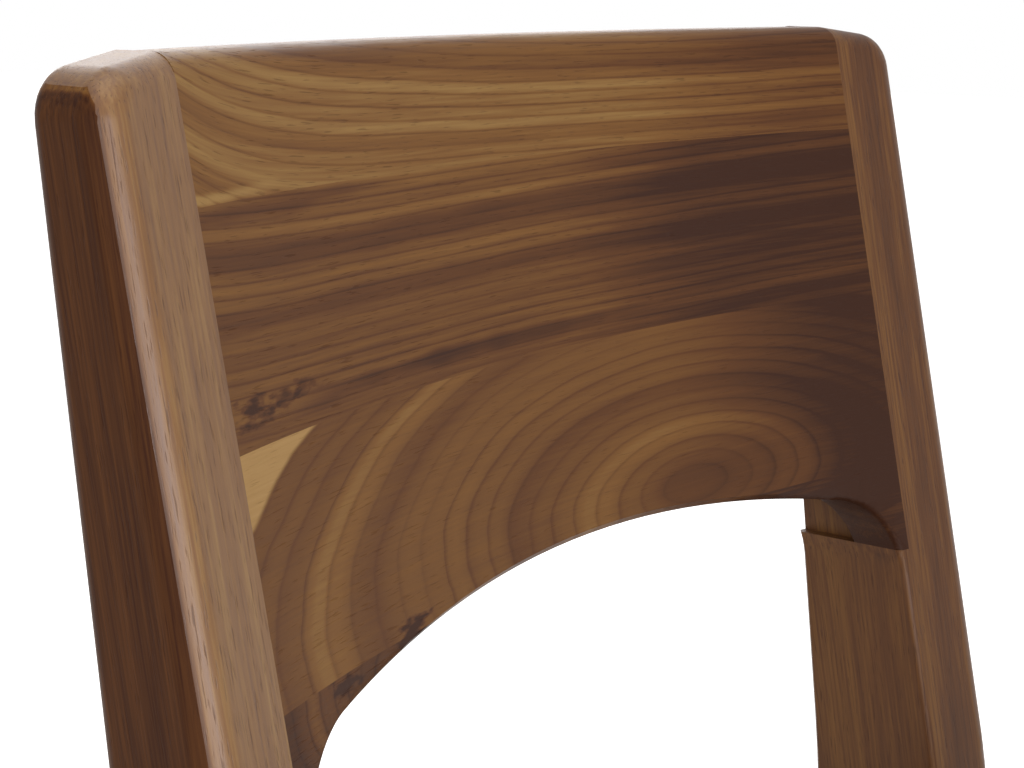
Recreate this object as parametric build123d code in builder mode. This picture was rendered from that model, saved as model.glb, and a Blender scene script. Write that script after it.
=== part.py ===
from build123d import *
import os
from math import asin, atan, cos, radians, sin, sqrt, tan

# Dining chair with a scooped back built up from boards between two raked posts, and an upholstered seat.
# Millimetres. +Z is up, the sitter faces -Y, and the origin is on the floor under the middle of the chair.

os.makedirs("parts", exist_ok=True)

# Back: overall sizes
back_height = 800.0  # floor to the top edge
back_width = 476.0  # over the outer faces of the posts
seat_reach = 412.0  # front of the front legs to the front of the rear posts
rake = 12.0  # degrees, front of the posts above the seat
back_rake = 6.8  # degrees, rear of the posts above the seat

# Rear posts
post_width = 38.0  # outer face to the face that the panel is glued to
post_top_depth = 31.4  # at the outer face
housing_depth = 4.0  # step that the panel's toes land on
blank_allowance = 10.0  # width that the opening trims off the inside of a post
upper_bend_height = 446.0  # where the flat at the rails turns into the raked back
lower_bend_height = 312.0  # where the flat turns into the splayed foot
bend_radius = 330.0
rear_bend_height = 430.0
rear_bend_radius = 700.0
foot_splay = 7.0  # degrees
foot_depth = 38.0
top_corner_radius = 16.0
shoulder_fall = 5.0  # outer end of a post's top below the panel's top
front_edge_round = 9.5  # broad soft edge along the front of the post
rear_edge_round = 8.0
inner_front_round = 3.5
inner_rear_chamfer = 2.5

# Back panel
scoop_sag = 27.2  # hollow of the front over the panel's width, square to the rake
panel_thickness = 24.0
arch_drop = 187.2  # top edge to the crown of the arch
arch_radius = 800.0
arch_corner_radius = 40.0
toe_tail = 19.9  # foot of the arch to the end of the toes
arch_edge_chamfer = 2.5
top_board_width = 44.3
upper_board_width = 71.6
crown_bite = 5.0  # how far the arch rises into the third board
top_round_steps = 5  # flats round each top edge

# Front legs
front_leg_size = 38.0
front_foot_size = 27.0
front_leg_edge_round = 4.0
taper_gap = 6.0  # straight part below the rails before the taper

# Rails
rail_top = 410.0
rail_height = 58.0
rail_thickness = 22.0
rail_inset = 4.0  # behind the outer faces of the legs
rail_edge_round = 2.5
back_rail_setback = 35.0  # middle of the back rail behind the front of the posts
side_rail_bite = 22.0  # how far the side rail's blank runs on before it is fitted to the post

# Loose tenons
tenon_thickness = 10.0
tenon_margin = 9.0  # from the edges of a board or rail
back_tenon_length = 40.0
rail_tenon_length = 32.0
tenon_fit = 0.1  # round the tenon
tenon_end_gap = 1.0

# Flats on small round fittings and on their holes
pin_sides = 12

# Corner blocks and their screws
block_reach = 70.0  # along each rail
block_cut = 34.0  # cut off at the leg
block_height = 28.0
block_drop = 6.0  # below the top of the rails
screw_diameter = 4.0
screw_length = 25.0
screw_head_diameter = 8.0
screw_head_height = 2.6
screw_seat = 12.0  # wood left under the head
screw_fit = 0.05
head_room = 0.6

# Glides
glide_diameter = 21.0
glide_height = 5.0
glide_chamfer = 1.5
nail_diameter = 2.4
nail_length = 17.0
nail_head_diameter = 7.0
nail_head_height = 1.2
nail_recess = 2.0
nail_fit = 0.05

# Seat pad
pad_setback = 2.0  # behind the outer faces of the legs
notch_gap = 3.0  # round the posts
pad_corner_radius = 28.0
pad_small_radius = 5.0
pad_draw_in = 2.5  # sides drawn in between the corners
pad_corner_steps = 5  # flats round each corner
board_thickness = 12.0
foam_edge = 18.0  # above the board where the side starts to turn in
crown_rise = 11.0
crown_run = 130.0  # from the edge of the crown to its flat middle
pad_edge_round = 12.0
cover_thickness = 1.6
cover_wrap = 52.0  # fabric turned under the board
soft_gap = 0.3

# Fixings of the pad
bolt_diameter = 5.9
bolt_head_diameter = 11.0
bolt_head_height = 4.0
bolt_end_gap = 3.0  # below the top of the board
bolt_hole_diameter = 6.6
washer_diameter = 16.0
washer_thickness = 1.5
nut_flange_diameter = 18.0
nut_flange_thickness = 1.4
nut_barrel_diameter = 8.0
nut_barrel_length = 9.5
nut_thread_diameter = 6.0
nut_fit = 0.1

# Dust cover
dust_thickness = 0.8
dust_gap = 3.0  # to the rails
dust_side_gap = 2.0  # to the posts
staple_inset = 5.0
staple_width = 10.0
staple_wire = 1.2
staple_crown = 0.7
staple_leg = 6.0
staple_pitch = 66.0
staple_corner_gap = 46.0  # from the corners of the dust cover to the first staple

# Worked-out places
post_outer = back_width / 2
glue_x = post_outer - post_width
inner_x = glue_x - housing_depth
blank_x = inner_x - blank_allowance
scoop_radius = (glue_x**2 + scoop_sag**2) / (2 * scoop_sag)
post_slope = tan(asin(glue_x / scoop_radius)) / cos(radians(rake))
post_turn = atan(post_slope)  # of the posts' front and rear in plan
bulge_radius = scoop_radius + panel_thickness
top_lean = (back_height - upper_bend_height) * tan(radians(rake))
foot_kick = (lower_bend_height - glide_height) * tan(radians(foot_splay))
round_loss = rear_edge_round * (tan(radians(rake)) + 1 / cos(radians(rake)) - 1)
panel_reach = (scoop_sag + panel_thickness) / cos(radians(rake)) - round_loss
rear_reach = post_width * post_slope + top_lean + panel_reach
landing_y = (seat_reach - rear_reach) / 2
front_y = landing_y - seat_reach
arch_crown = back_height - arch_drop
arch_foot = arch_crown - arch_radius + sqrt(arch_radius**2 - inner_x**2)
toe_level = arch_foot - toe_tail
first_joint = back_height - top_board_width
second_joint = first_joint - upper_board_width
third_joint = arch_crown - crown_bite
blank_top = back_height + shoulder_fall


def face_setback(x):
    """How far the slanted faces of a post lie behind its outer edge."""
    return (post_outer - abs(x)) * post_slope


def raked_lean(z):
    """From the front of the rail landing to the raked front of a post."""
    return (z - upper_bend_height) * tan(radians(rake))


def raked_front_y(z, x):
    """Front of the post or of the panel's end on the raked stretch."""
    return landing_y + face_setback(x) + raked_lean(z)


def raked_depth(z):
    """From the front of the rail landing to the raked rear of a post."""
    return top_lean + post_top_depth - (back_height - z) * tan(radians(back_rake))


# Tenon places: the middle of each, with its size
rail_middle = rail_top - rail_height / 2
side_rail_x = post_outer - rail_inset - rail_thickness / 2
front_rail_y = front_y + rail_inset + rail_thickness / 2
back_rail_y = landing_y + back_rail_setback
front_leg_back = front_y + front_leg_size
front_leg_inner = post_outer - front_leg_size

back_tenon_places = []
for upper, lower in ((back_height, first_joint), (first_joint, second_joint), (second_joint, third_joint)):
    tenon_z = (upper + lower) / 2
    tenon_y = raked_front_y(tenon_z, glue_x) + panel_thickness / 2 / cos(radians(rake))
    tenon_size = (back_tenon_length, tenon_thickness, upper - lower - 2 * tenon_margin)
    for side in (-1, 1):
        back_tenon_places.append((Location((side * glue_x, tenon_y, tenon_z), (-rake, 0, 0)), tenon_size))

rail_tenon_places = []
rail_tenon_height = rail_height - 2 * tenon_margin
cross_size = (rail_tenon_length, tenon_thickness, rail_tenon_height)
long_size = (tenon_thickness, rail_tenon_length, rail_tenon_height)
post_meeting_y = landing_y + face_setback(side_rail_x)
for side in (-1, 1):
    rail_tenon_places.append((Location((side * front_leg_inner, front_rail_y, rail_middle)), cross_size))
    rail_tenon_places.append((Location((side * inner_x, back_rail_y, rail_middle)), cross_size))
    rail_tenon_places.append((Location((side * side_rail_x, front_leg_back, rail_middle)), long_size))
    rail_tenon_places.append((Location((side * side_rail_x, post_meeting_y, rail_middle)), long_size))


def tenon_blocks(places, fit, end_gap):
    """A block at each place, or its mortise when there is room round it."""
    for middle, size in places:
        room = [2 * end_gap if side == max(size[:2]) else 2 * fit for side in size]
        with Locations(middle):
            Box(*[side + extra for side, extra in zip(size, room)])


with BuildPart() as mortises:
    tenon_blocks(back_tenon_places + rail_tenon_places, tenon_fit, tenon_end_gap)

with BuildPart() as back_tenons:
    tenon_blocks(back_tenon_places, 0, 0)

with BuildPart() as rail_tenons:
    tenon_blocks(rail_tenon_places, 0, 0)



def pins(planes, diameter, start, length):
    """A slim prism on each plane, from a start along the plane's axis."""
    with BuildPart() as group:
        with BuildSketch(*[plane.offset(start) for plane in planes]):
            RegularPolygon(diameter / 2, pin_sides)
        extrude(amount=length)
    return group.part


# Glides and nails: one under each foot
foot_middle = (inner_x + post_outer) / 2
rear_foot_y = landing_y + foot_kick + face_setback(foot_middle) + foot_depth / 2
front_foot_x = post_outer - front_foot_size / 2
front_foot_y = front_y + front_foot_size / 2
feet = []
for side in (-1, 1):
    feet.append(Plane((side * front_foot_x, front_foot_y, 0)))
    feet.append(Plane((side * foot_middle, rear_foot_y, 0)))

nail_holes = pins(feet, nail_diameter + 2 * nail_fit, nail_recess, nail_length + nail_fit)

with BuildPart() as glide_nails:
    add(pins(feet, nail_diameter, nail_recess, nail_length))
    add(pins(feet, nail_head_diameter, nail_recess, -nail_head_height))

with BuildPart() as leg_glides:
    add(pins(feet, glide_diameter, 0, glide_height))
    chamfer(leg_glides.edges().group_by(Axis.Z)[0], glide_chamfer)
    add(pins(feet, nail_head_diameter + 2 * nail_fit, 0, nail_recess), mode=Mode.SUBTRACT)
    add(nail_holes, mode=Mode.SUBTRACT)

# Opening under the back panel: a shallow arch with round corners that run down the inside of the posts
with BuildPart() as back_opening:
    with BuildSketch(Plane.XZ) as opening_outline:
        with BuildLine():
            arch = ThreePointArc((-inner_x, arch_foot), (0, arch_crown), (inner_x, arch_foot))
            Polyline(arch @ 1, (inner_x, 0), (-inner_x, 0), arch @ 0)
        make_face()
        fillet(opening_outline.vertices().group_by(Axis.Y)[-1], arch_corner_radius)
    extrude(amount=back_height, both=True)


post_plane = Plane(
    (post_outer, landing_y, 0),
    (sin(post_turn), cos(post_turn), 0),
    (cos(post_turn), -sin(post_turn), 0),
)


def post_point(depth, level):
    """Point of the side view, from a depth measured straight back at one place across the post."""
    return (depth * cos(post_turn), level)


def post_outline():
    """Side view of a rear post: raked top, upright flat at the rails, splayed and tapered foot."""
    with BuildSketch(post_plane) as outline:
        with BuildLine():
            front_edge = FilletPolyline(
                post_point(raked_lean(blank_top), blank_top),
                post_point(0, upper_bend_height),
                post_point(0, lower_bend_height),
                post_point(foot_kick, glide_height),
                radius=bend_radius,
            )
            rear_edge = FilletPolyline(
                post_point(foot_kick + foot_depth, glide_height),
                post_point(raked_depth(rear_bend_height), rear_bend_height),
                post_point(raked_depth(blank_top), blank_top),
                radius=rear_bend_radius,
            )
            Line(front_edge @ 1, rear_edge @ 0)
            Line(rear_edge @ 1, front_edge @ 0)
        make_face()
    return outline.sketch


facing = 0.5  # least cosine between a face's normal and the direction that it is asked for


def faces_towards(part, x, y, z):
    """Faces whose middle looks mostly along the given direction."""
    direction = Vector(x, y, z)
    return part.faces().filter_by(lambda face: face.normal_at().dot(direction) > facing)


def shared_edges(first, second):
    """Edges that a face of the first list has in common with a face of the second."""
    return first.edges() & second.edges()


def inner_wall(leg):
    """Inner face of a post below the panel's toes."""
    return faces_towards(leg, -1, 0, 0).filter_by(lambda face: face.center().Z < toe_level)


shoulder_plane = Plane((glue_x, 0, back_height), (0, 1, 0), (shoulder_fall, 0, post_width))

with BuildPart() as right_rear_leg:
    extrude(post_outline(), amount=back_width / 2, both=True)
    split(bisect_by=Plane.YZ.offset(blank_x), keep=Keep.TOP)
    split(bisect_by=Plane.YZ.offset(post_outer), keep=Keep.BOTTOM)
    split(bisect_by=shoulder_plane, keep=Keep.BOTTOM)
    outer_edges = right_rear_leg.edges().filter_by(Axis.Y).group_by(Axis.X)[-1]
    fillet(outer_edges.sort_by(Axis.Z)[-1], top_corner_radius)
    outer_wall = faces_towards(right_rear_leg, 1, 0, 0) + faces_towards(right_rear_leg, 0, 0, 1)
    fillet(shared_edges(faces_towards(right_rear_leg, 0, -1, 0), outer_wall), front_edge_round)
    outer_wall = faces_towards(right_rear_leg, 1, 0, 0) + faces_towards(right_rear_leg, 0, 0, 1)
    fillet(shared_edges(faces_towards(right_rear_leg, 0, 1, 0), outer_wall), rear_edge_round)
    add(back_opening.part, mode=Mode.SUBTRACT)
    with Locations((0, landing_y, toe_level)):
        Box(
            2 * glue_x,
            back_height,
            back_height,
            align=(Align.CENTER, Align.CENTER, Align.MIN),
            mode=Mode.SUBTRACT,
        )
    front_faces = faces_towards(right_rear_leg, 0, -1, 0)
    fillet(shared_edges(front_faces, inner_wall(right_rear_leg)), inner_front_round)
    rear_faces = faces_towards(right_rear_leg, 0, 1, 0)
    chamfer(shared_edges(rear_faces, inner_wall(right_rear_leg)), inner_rear_chamfer)
    add(mortises.part, mode=Mode.SUBTRACT)
    add(nail_holes, mode=Mode.SUBTRACT)

with BuildPart() as left_rear_leg:
    mirror(right_rear_leg.part, about=Plane.YZ)

# Back panel: boards that follow one scoop, glued edge to edge and cut by the arch
panel_front_y = raked_front_y(back_height, glue_x)
board_stations = (-1, -0.5, 0, 0.5, 1)  # shares of the half width
toe_stations = (0, 0.25, 0.5, 0.75, 1)


def arc_y(radius, x):
    """Straight back from the panel's ends to an arc about the centre of the scoop."""
    return (sqrt(radius**2 - x**2) - scoop_radius + scoop_sag) / cos(radians(rake))


def top_edge(corner, way, radius):
    """Points round a top edge of the panel's section, from the level top on to the leaning face."""
    turn = 90 + way * rake
    middle = corner - way * radius * tan(radians(turn / 2))
    points = []
    for step in range(top_round_steps + 1):
        angle = radians(turn * step / top_round_steps)
        points.append((middle + way * radius * sin(angle), back_height - radius + radius * cos(angle)))
    return points


def board_profile(x, upper, lower):
    """Upright section of a board, leaning with the rake; only the top board has rounded edges."""
    front = panel_front_y + arc_y(scoop_radius, x)
    rear = panel_front_y + arc_y(bulge_radius, x)
    upper_lean = (back_height - upper) * tan(radians(rake))
    lower_lean = (back_height - lower) * tan(radians(rake))
    front_edge = [(front - upper_lean, upper)]
    rear_edge = [(rear - upper_lean, upper)]
    if upper == back_height:
        front_edge = top_edge(front, -1, front_edge_round)
        rear_edge = top_edge(rear, 1, rear_edge_round)
    with BuildSketch(Plane.YZ.offset(x)) as profile:
        with BuildLine():
            Polyline(
                *front_edge,
                (front - lower_lean, lower),
                (rear - lower_lean, lower),
                *reversed(rear_edge),
                close=True,
            )
        make_face()
    return profile.sketch


def board(upper, lower, stations):
    """Board of the panel between two levels, with the edges of the arch chamfered where it cuts the board."""
    with BuildPart() as stave:
        loft(sections=[board_profile(glue_x * share, upper, lower) for share in stations])
        add(back_opening.part, mode=Mode.SUBTRACT)
        for way in (-1, 1):
            arch_faces = stave.faces().filter_by(GeomType.CYLINDER)
            arch_edges = shared_edges(faces_towards(stave, 0, way, 0), arch_faces)
            if arch_edges:
                chamfer(arch_edges, arch_edge_chamfer)
        add(mortises.part, mode=Mode.SUBTRACT)
    return stave


back_stave_top = board(back_height, first_joint, board_stations)
back_stave_upper = board(first_joint, second_joint, board_stations)
back_stave_lower = board(second_joint, third_joint, board_stations)
back_toe_right = board(third_joint, toe_level, toe_stations)

with BuildPart() as back_toe_left:
    mirror(back_toe_right.part, about=Plane.YZ)


def leg_section(size, level):
    """Front leg in plan: square, kept to its outer edges, with the broad round at the front outer corner."""
    with BuildSketch(Plane.XY.offset(level)) as section:
        with Locations((post_outer, front_y)):
            Rectangle(size, size, align=(Align.MAX, Align.MIN))
        corners = section.vertices().sort_by(lambda corner: corner.X - corner.Y)
        fillet(corners[:-1], front_leg_edge_round)
        fillet(section.vertices().sort_by(lambda corner: corner.X - corner.Y)[-1], front_edge_round)
    return section.sketch


# Front legs: straight at the rails, tapered on the inner faces below
taper_level = rail_top - rail_height - taper_gap

with BuildPart() as right_front_leg:
    loft(
        sections=(
            leg_section(front_foot_size, glide_height),
            leg_section(front_leg_size, taper_level),
            leg_section(front_leg_size, rail_top),
        ),
        ruled=True,
    )
    add(mortises.part, mode=Mode.SUBTRACT)
    add(nail_holes, mode=Mode.SUBTRACT)

with BuildPart() as left_front_leg:
    mirror(right_front_leg.part, about=Plane.YZ)

# Corner blocks: each has its corner where the inner faces of two rails meet
block_top = rail_top - block_drop
block_bottom = block_top - block_height
block_middle = (block_top + block_bottom) / 2
side_rail_inner = side_rail_x - rail_thickness / 2
front_rail_inner = front_rail_y + rail_thickness / 2
back_rail_inner = back_rail_y - rail_thickness / 2
screw_run = (block_cut + block_reach) / 2
bolt_run = (block_cut + block_reach) / 4
block_corners = {
    "front_left": (-1, 1, front_rail_inner),
    "front_right": (1, 1, front_rail_inner),
    "rear_left": (-1, -1, back_rail_inner),
    "rear_right": (1, -1, back_rail_inner),
}


def block_point(corner, across, along):
    """Point in plan, measured inwards from the two rails that meet at a corner."""
    side, way, rail_y = block_corners[corner]
    return (side * (side_rail_inner - across), rail_y + way * along)


bolts = [Plane((*block_point(corner, bolt_run, bolt_run), 0)) for corner in block_corners]
bolt_holes = pins(bolts, bolt_hole_diameter, 0, back_height)
screw_planes = []
for corner, (side, way, rail_y) in block_corners.items():
    into_end_rail = block_point(corner, screw_run, screw_seat)
    into_side_rail = block_point(corner, screw_seat, screw_run)
    screw_planes.append(Plane((*into_end_rail, block_middle), (1, 0, 0), (0, -way, 0)))
    screw_planes.append(Plane((*into_side_rail, block_middle), (0, 1, 0), (side, 0, 0)))

with BuildPart() as screw_holes:
    add(pins(screw_planes, screw_diameter + 2 * screw_fit, 0, screw_length + screw_fit))
    add(pins(screw_planes, screw_head_diameter + 2 * head_room, 0, -block_reach / 2))

with BuildPart() as corner_block_screws:
    add(pins(screw_planes, screw_diameter, 0, screw_length))
    add(pins(screw_planes, screw_head_diameter, 0, -screw_head_height))

corner_blocks = {}
for corner in block_corners:
    with BuildPart() as block:
        with BuildSketch(Plane.XY.offset(block_bottom)):
            with BuildLine():
                Polyline(
                    block_point(corner, block_cut, 0),
                    block_point(corner, block_reach, 0),
                    block_point(corner, 0, block_reach),
                    block_point(corner, 0, block_cut),
                    close=True,
                )
            make_face()
        extrude(amount=block_height)
        add(bolt_holes, mode=Mode.SUBTRACT)
        add(screw_holes.part, mode=Mode.SUBTRACT)
    corner_blocks[corner] = block


# Rails: plain boards with eased lower edges, pinned to the legs
def ease_lower_edges(rail, axis):
    """Round the two long lower edges of a rail."""
    fillet(rail.edges().filter_by(axis).group_by(Axis.Z)[0], rail_edge_round)


with BuildPart() as front_rail:
    with Locations((0, front_rail_y, rail_middle)):
        Box(2 * front_leg_inner, rail_thickness, rail_height)
    ease_lower_edges(front_rail, Axis.X)
    add(mortises.part, mode=Mode.SUBTRACT)
    add(screw_holes.part, mode=Mode.SUBTRACT)

with BuildPart() as back_rail:
    with Locations((0, back_rail_y, rail_middle)):
        Box(2 * inner_x, rail_thickness, rail_height)
    ease_lower_edges(back_rail, Axis.X)
    add(mortises.part, mode=Mode.SUBTRACT)
    add(screw_holes.part, mode=Mode.SUBTRACT)

with BuildPart() as right_side_rail:
    with Locations((side_rail_x, front_leg_back, rail_middle)):
        Box(
            rail_thickness,
            landing_y + side_rail_bite - front_leg_back,
            rail_height,
            align=(Align.CENTER, Align.MIN, Align.CENTER),
        )
    ease_lower_edges(right_side_rail, Axis.Y)
    add(right_rear_leg.part, mode=Mode.SUBTRACT)
    add(mortises.part, mode=Mode.SUBTRACT)
    add(screw_holes.part, mode=Mode.SUBTRACT)

with BuildPart() as left_side_rail:
    mirror(right_side_rail.part, about=Plane.YZ)

# Seat pad: board, foam and cover share one outline, notched round the posts
board_bottom = rail_top + cover_thickness
board_top = board_bottom + board_thickness
nut_seat = board_top - nut_flange_thickness - nut_fit


def notch_outline(inset, level):
    """Plan of the two rear corners that are cut away round the posts."""
    side = post_outer - inset
    tongue = inner_x - notch_gap - inset
    rear = back_rail_y + rail_thickness
    notch_outer = landing_y + face_setback(side) - notch_gap - inset
    notch_inner = landing_y + face_setback(tongue) - notch_gap - inset
    with BuildSketch(Plane.XY.offset(level)) as outline:
        with BuildLine():
            FilletPolyline(
                (side, rear),
                (side, notch_outer),
                (tongue, notch_inner),
                (tongue, rear),
                radius=(0, pad_small_radius, 0, 0),
                close=True,
            )
        make_face()
        mirror(about=Plane.YZ)
    return outline.sketch


def pad_points(inset):
    """Corners of the pad's plan before it is notched, with its sides drawn in between its round corners."""
    side = post_outer - pad_setback - inset
    front = front_y + pad_setback + inset
    rear = back_rail_y + rail_thickness / 2 - inset
    middle = (front + rear) / 2
    radius = max(pad_corner_radius - inset, pad_small_radius)
    draw_slope = 2 * pad_draw_in / seat_reach
    side_waist = side - draw_slope * (middle - front - radius)
    front_waist = front + draw_slope * (side - radius)
    corners = (
        (side - radius, front + radius, (side_waist, middle)),
        (side - radius, rear - radius, None),
        (radius - side, rear - radius, (-side_waist, middle)),
        (radius - side, front + radius, (0, front_waist)),
    )
    points = []
    for quarter, (x, y, waist) in enumerate(corners):
        for step in range(pad_corner_steps + 1):
            angle = radians(90 * (quarter - 1 + step / pad_corner_steps))
            points.append((x + radius * cos(angle), y + radius * sin(angle)))
        if waist:
            points.append(waist)
    return points


def pad_outline(inset, level):
    """Plan of the pad as a sketch."""
    with BuildSketch(Plane.XY.offset(level)) as outline:
        with BuildLine():
            Polyline(*pad_points(inset), close=True)
        make_face()
    return outline.sketch


edge_turns = (0, 30, 60, 90)  # degrees round the edge, from the side to the crown
crown_steps = (0.25, 0.5, 0.75, 1)  # shares of the run over the crown
pad_height = foam_edge + pad_edge_round + crown_rise


def pad_ring(inset, level):
    """Corners of the pad's plan at a level."""
    return [(x, y, level) for x, y in pad_points(inset)]


def pad_form(inset, bottom):
    """Crowned pad, inside the cover's outer skin by the given inset, with flat facets from ring to ring."""
    round_inside = pad_edge_round - inset
    rings = [pad_ring(inset, bottom)]
    for turn in edge_turns:
        across = pad_edge_round - round_inside * cos(radians(turn))
        rings.append(pad_ring(across, board_top + foam_edge + round_inside * sin(radians(turn))))
    for share in crown_steps:
        rise = crown_rise * (1 - (1 - share) ** 2)
        across = pad_edge_round + crown_run * share
        rings.append(pad_ring(across, board_top + foam_edge + round_inside + rise))
    facets = [Face(Wire.make_polygon(rings[0])), Face(Wire.make_polygon(rings[-1]))]
    for lower, upper in zip(rings, rings[1:]):
        for here in range(len(lower)):
            corners = (lower[here - 1], lower[here], upper[here], upper[here - 1])
            facets.append(Face(Wire.make_polygon(corners)))
    with BuildPart() as form:
        add(Solid(Shell(facets)))
        extrude(notch_outline(inset, bottom), amount=board_top + pad_height - bottom, mode=Mode.SUBTRACT)
    return form.part


cover_skin = pad_form(0, rail_top)
cover_lining = pad_form(cover_thickness, board_bottom)
foam_form = pad_form(cover_thickness + soft_gap, board_top)

with BuildPart() as wrap_opening:
    extrude(pad_outline(cover_wrap, rail_top), amount=cover_thickness)
    extrude(notch_outline(cover_wrap, rail_top), amount=cover_thickness, mode=Mode.SUBTRACT)

# Dust cover and staples under the board
dust_half = inner_x - dust_side_gap
dust_front = front_rail_inner + dust_gap
dust_rear = back_rail_inner - dust_gap
dust_bottom = rail_top - dust_thickness
staple_places = []


def staple_row(start, end):
    """Even places from start to end at about the staple pitch."""
    count = max(2, round((end - start) / staple_pitch) + 1)
    return [start + (end - start) * step / (count - 1) for step in range(count)]


for y in staple_row(dust_front + staple_corner_gap, dust_rear - staple_corner_gap):
    for hand in (-1, 1):
        staple_places.append(Location((hand * (dust_half - staple_inset), y, dust_bottom), (0, 0, 90)))
for x in staple_row(staple_corner_gap - dust_half, dust_half - staple_corner_gap):
    staple_places.append(Location((x, dust_front + staple_inset, dust_bottom)))
    staple_places.append(Location((x, dust_rear - staple_inset, dust_bottom)))

with BuildPart() as dust_cover_staples:
    with Locations(*staple_places):
        Box(
            staple_width,
            staple_wire,
            staple_crown,
            align=(Align.CENTER, Align.CENTER, Align.MAX),
        )
        with GridLocations(staple_width - staple_wire, 1, 2, 1):
            Box(
                staple_wire,
                staple_wire,
                staple_leg,
                align=(Align.CENTER, Align.CENTER, Align.MIN),
            )

with BuildPart() as seat_dust_cover:
    with Locations((0, (dust_front + dust_rear) / 2, dust_bottom)):
        Box(
            2 * dust_half,
            dust_rear - dust_front,
            dust_thickness,
            align=(Align.CENTER, Align.CENTER, Align.MIN),
        )
    add(bolt_holes, mode=Mode.SUBTRACT)
    add(dust_cover_staples.part, mode=Mode.SUBTRACT)

with BuildPart() as seat_board:
    extrude(pad_outline(cover_thickness, board_bottom), amount=board_thickness)
    extrude(notch_outline(cover_thickness, board_bottom), amount=board_thickness, mode=Mode.SUBTRACT)
    add(pins(bolts, nut_barrel_diameter + 2 * nut_fit, board_bottom, board_thickness), mode=Mode.SUBTRACT)
    add(pins(bolts, nut_flange_diameter + 2 * nut_fit, nut_seat, board_thickness), mode=Mode.SUBTRACT)
    add(dust_cover_staples.part, mode=Mode.SUBTRACT)

with BuildPart() as seat_foam:
    add(foam_form)

with BuildPart() as seat_cover:
    add(cover_skin)
    add(cover_lining, mode=Mode.SUBTRACT)
    add(wrap_opening.part, mode=Mode.SUBTRACT)
    add(pins(bolts, bolt_hole_diameter, rail_top, cover_thickness), mode=Mode.SUBTRACT)
    add(dust_cover_staples.part, mode=Mode.SUBTRACT)

# Tee nuts in the board, and bolts with washers up through the corner blocks
washer_bottom = block_bottom - washer_thickness

with BuildPart() as seat_tee_nuts:
    add(pins(bolts, nut_flange_diameter, nut_seat, nut_flange_thickness))
    add(pins(bolts, nut_barrel_diameter, nut_seat, -nut_barrel_length))
    add(pins(bolts, nut_thread_diameter, nut_seat - nut_barrel_length, board_thickness), mode=Mode.SUBTRACT)

with BuildPart() as seat_washers:
    add(pins(bolts, washer_diameter, washer_bottom, washer_thickness))
    add(bolt_holes, mode=Mode.SUBTRACT)

with BuildPart() as seat_bolts:
    with BuildSketch(*[plane.offset(washer_bottom) for plane in bolts]):
        RegularPolygon(bolt_head_diameter / 2, 6)
    extrude(amount=-bolt_head_height)
    add(pins(bolts, bolt_diameter, washer_bottom, board_top - bolt_end_gap - washer_bottom))

pieces = {
    "left_rear_leg": left_rear_leg,
    "right_rear_leg": right_rear_leg,
    "left_front_leg": left_front_leg,
    "right_front_leg": right_front_leg,
    "back_stave_top": back_stave_top,
    "back_stave_upper": back_stave_upper,
    "back_stave_lower": back_stave_lower,
    "back_toe_left": back_toe_left,
    "back_toe_right": back_toe_right,
    "back_tenons": back_tenons,
    "front_rail": front_rail,
    "back_rail": back_rail,
    "left_side_rail": left_side_rail,
    "right_side_rail": right_side_rail,
    "rail_tenons": rail_tenons,
    "corner_block_screws": corner_block_screws,
    "leg_glides": leg_glides,
    "glide_nails": glide_nails,
    "seat_board": seat_board,
    "seat_foam": seat_foam,
    "seat_cover": seat_cover,
    "seat_dust_cover": seat_dust_cover,
    "dust_cover_staples": dust_cover_staples,
    "seat_tee_nuts": seat_tee_nuts,
    "seat_bolts": seat_bolts,
    "seat_washers": seat_washers,
}
for corner, block in corner_blocks.items():
    pieces[f"{corner}_corner_block"] = block

for name, piece in pieces.items():
    piece.part.label = name
    export_step(piece.part, f"parts/{name}.step")
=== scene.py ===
import math

import bmesh
import bpy
from bpy.props import FloatProperty, FloatVectorProperty, IntProperty, PointerProperty
from mathutils import Matrix, Vector
from mathutils.bvhtree import BVHTree


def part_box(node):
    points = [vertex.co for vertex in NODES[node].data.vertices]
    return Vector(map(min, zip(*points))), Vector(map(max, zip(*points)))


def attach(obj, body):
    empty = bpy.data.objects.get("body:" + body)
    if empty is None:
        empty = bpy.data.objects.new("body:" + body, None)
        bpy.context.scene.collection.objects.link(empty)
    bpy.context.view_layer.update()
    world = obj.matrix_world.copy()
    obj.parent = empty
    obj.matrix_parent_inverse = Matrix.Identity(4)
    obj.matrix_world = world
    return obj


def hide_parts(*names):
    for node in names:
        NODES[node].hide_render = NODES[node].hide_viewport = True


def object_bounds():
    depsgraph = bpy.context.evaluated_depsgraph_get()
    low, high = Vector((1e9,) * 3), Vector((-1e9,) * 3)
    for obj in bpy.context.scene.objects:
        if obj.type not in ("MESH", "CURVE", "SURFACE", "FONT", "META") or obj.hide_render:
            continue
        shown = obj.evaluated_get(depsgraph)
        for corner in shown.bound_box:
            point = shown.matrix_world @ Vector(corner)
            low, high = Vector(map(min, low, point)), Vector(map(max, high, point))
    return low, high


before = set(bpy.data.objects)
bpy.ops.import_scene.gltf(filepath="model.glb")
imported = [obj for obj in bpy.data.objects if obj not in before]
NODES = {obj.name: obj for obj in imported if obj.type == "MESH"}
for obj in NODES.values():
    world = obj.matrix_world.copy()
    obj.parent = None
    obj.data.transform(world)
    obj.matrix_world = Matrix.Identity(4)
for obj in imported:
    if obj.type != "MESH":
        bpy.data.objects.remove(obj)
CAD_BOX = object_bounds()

bl_info = {
    "name": "Scooped Back Dining Chair",
    "version": (1, 0, 0),
    "blender": (4, 5, 0),
    "location": "View3D > Sidebar > Chair",
    "description": "Finishes the chair's wood and fittings, pads its seat and sets the studio",
    "category": "Object",
}

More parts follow.
